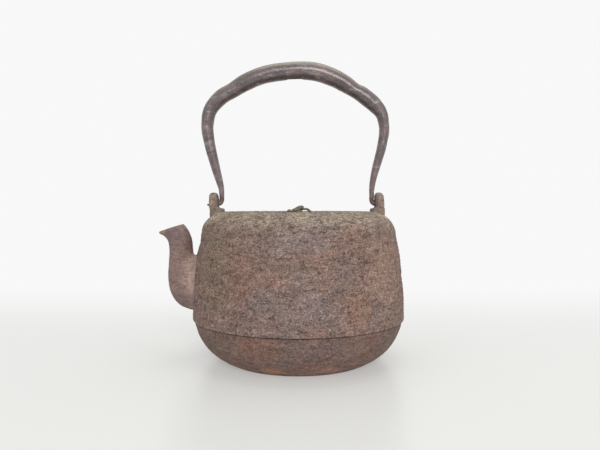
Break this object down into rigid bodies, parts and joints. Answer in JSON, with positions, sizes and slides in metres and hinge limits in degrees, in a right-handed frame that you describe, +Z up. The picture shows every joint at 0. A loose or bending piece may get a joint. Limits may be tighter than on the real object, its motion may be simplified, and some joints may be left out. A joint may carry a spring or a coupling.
{
  "type": "cast iron kettle",
  "caption": "Cast iron kettle with a beaked spout, a tall hollow bail handle that swings and a lift-off domed lid, for boiling water.",
  "frame": {"origin": "centre of the flat base, on the surface the kettle stands on", "axes": "+Z up, -X towards the spout, Y across; the handle stands in the XZ plane and swings about X"},
  "size_m": [0.1823, 0.156, 0.2196],
  "materials": {
    "shell_iron": "rough rusted sand casting",
    "base_iron": "smoother rusted casting",
    "spout_iron": "smooth casting with a brown skin",
    "lug_iron": "rough casting with orange rust",
    "forged_iron": "forged, burnished by hands",
    "lid_bronze": "dark brown patina",
    "knob_bronze": "grey green patina"
  },
  "bodies": {
    "kettle": {"upper_shell": "shell_iron", "bottom_bowl": "base_iron", "spout": "spout_iron", "spout_side_lug": "lug_iron", "far_side_lug": "lug_iron"},
    "handle": {"bail_handle": "forged_iron"},
    "lid": {"lid": "lid_bronze", "knob_seat": "knob_bronze", "knob_burr": "knob_bronze"},
    "knob": {"knob": "knob_bronze", "knob_pin": "knob_bronze"}
  },
  "joints": [
    {"name": "handle_swing", "type": "hinge", "parent": "kettle", "child": "handle", "pos_m": [0, 0, 0.1144], "axis": [1, 0, 0], "range_deg": [-93, 93]},
    {"name": "lid_lift", "type": "slide", "parent": "kettle", "child": "lid", "axis": [0, 0, 1], "range_m": [0, 0.06]},
    {"name": "knob_turn", "type": "hinge", "parent": "lid", "child": "knob", "pos_m": [0, 0, 0.108], "axis": [0, 0, 1], "continuous": true}
  ]
}
